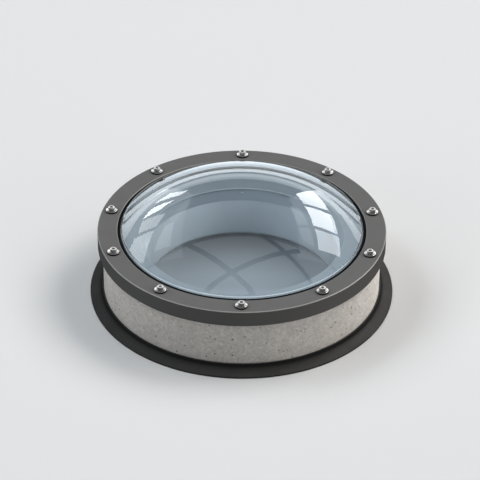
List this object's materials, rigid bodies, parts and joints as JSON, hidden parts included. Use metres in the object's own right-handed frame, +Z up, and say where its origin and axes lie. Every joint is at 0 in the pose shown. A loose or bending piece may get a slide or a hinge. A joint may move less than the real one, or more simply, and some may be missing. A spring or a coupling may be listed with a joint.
{
  "type": "roof skylight",
  "caption": "Round fixed roof skylight: a clear formed dome, clamped by a screwed dark metal ring to a concrete kerb that stands in a coved rubber flashing.",
  "frame": {"origin": "centre of the base on the roof surface, under the middle of the dome", "axes": "+Z up along the axis of the dome and kerb; -Y is the side with a screw at its middle that faces the viewer"},
  "size_m": [0.642, 0.642, 0.242],
  "materials": {
    "flashing_rubber": "matte",
    "kerb_concrete": "matte",
    "bedding_rubber": "matte",
    "carrier_metal": "satin",
    "anchor_steel": "satin",
    "gasket_rubber": "matte",
    "dome_acrylic": "gloss",
    "sleeve_metal": "satin",
    "ring_metal": "satin",
    "fastener_steel": "satin"
  },
  "bodies": {
    "root": {"base_flashing": "flashing_rubber", "concrete_kerb": "kerb_concrete", "bedding_tape": "bedding_rubber", "carrier_ring": "carrier_metal", "anchor_screws": "anchor_steel", "lower_gasket": "gasket_rubber", "dome": "dome_acrylic", "upper_gasket": "gasket_rubber", "spacer_sleeves": "sleeve_metal", "clamp_ring": "ring_metal", "seal_washers": "gasket_rubber", "cover_washers": "fastener_steel", "clamp_screws": "fastener_steel"}
  },
  "joints": []
}
